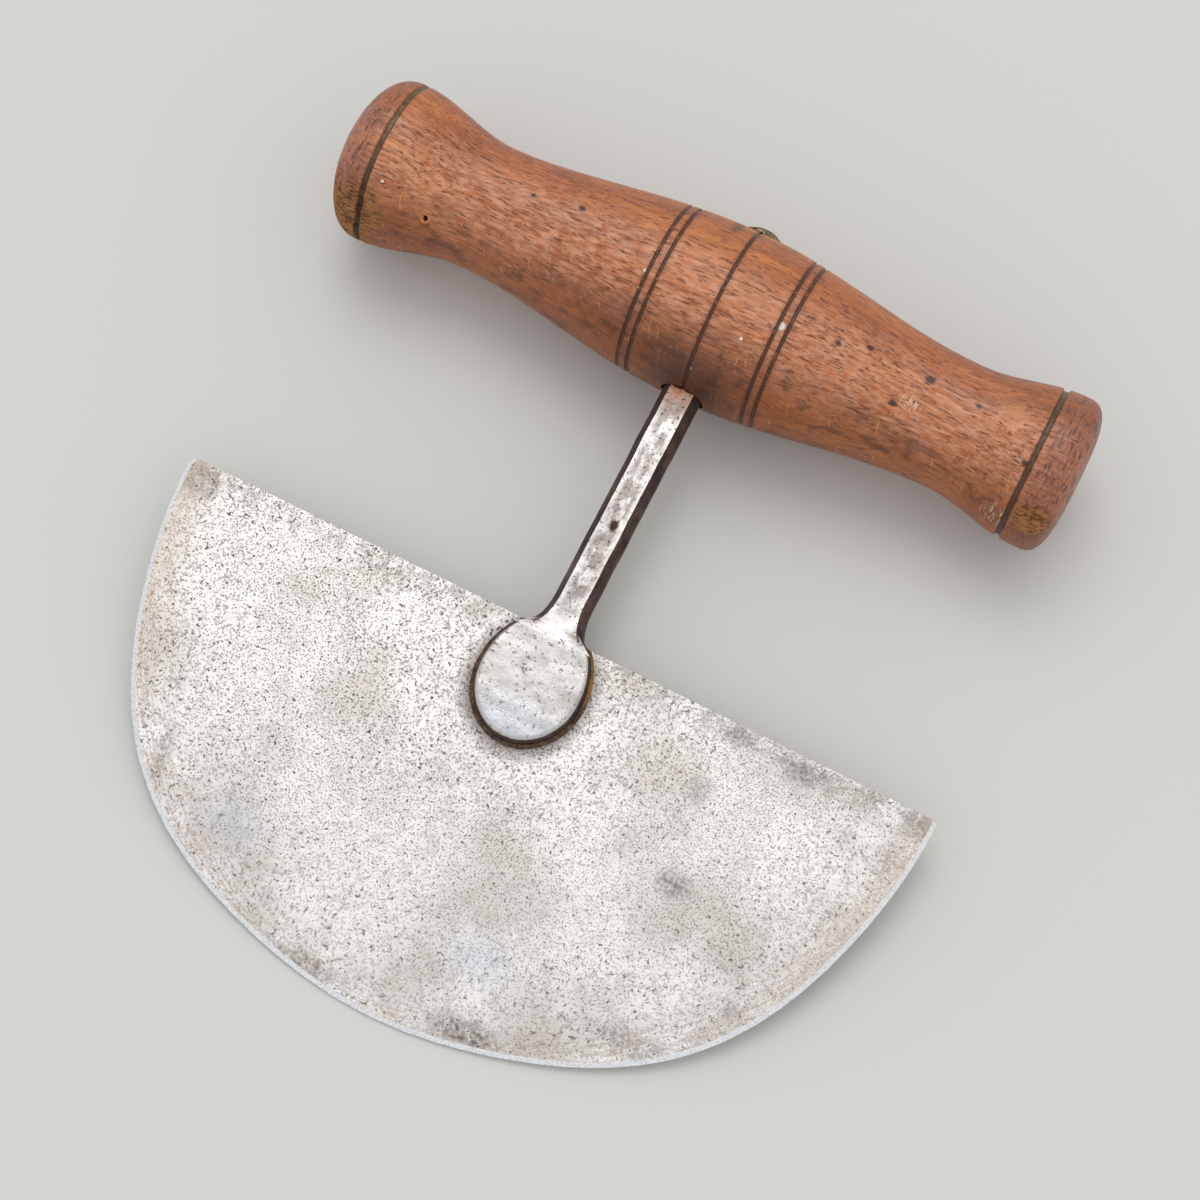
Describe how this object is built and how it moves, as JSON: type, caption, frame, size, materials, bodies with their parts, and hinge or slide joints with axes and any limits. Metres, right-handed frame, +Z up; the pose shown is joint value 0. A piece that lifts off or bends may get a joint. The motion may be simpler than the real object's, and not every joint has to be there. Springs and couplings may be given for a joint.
{
  "type": "mezzaluna",
  "caption": "Half-moon chopping knife: flat steel blade gripped by a forged shank that passes through a turned wooden cross handle and is riveted over a washer.",
  "frame": {"origin": "middle of the footprint on the surface that the tool lies on", "axes": "+X along the handle to its right end, +Y from the cutting edge towards the handle, +Z up from the surface"},
  "size_m": [0.1546, 0.1614, 0.0346],
  "materials": {
    "blade_steel": "worn, finely pitted",
    "shank_steel": "burnished forging",
    "beech": "stained and varnished, worn",
    "brass": "tarnished",
    "spelter": "dull brown"
  },
  "bodies": {
    "root": {"blade": "blade_steel", "shank": "shank_steel", "handle": "beech", "washer": "brass", "braze_front": "spelter", "braze_back": "spelter"}
  },
  "joints": []
}
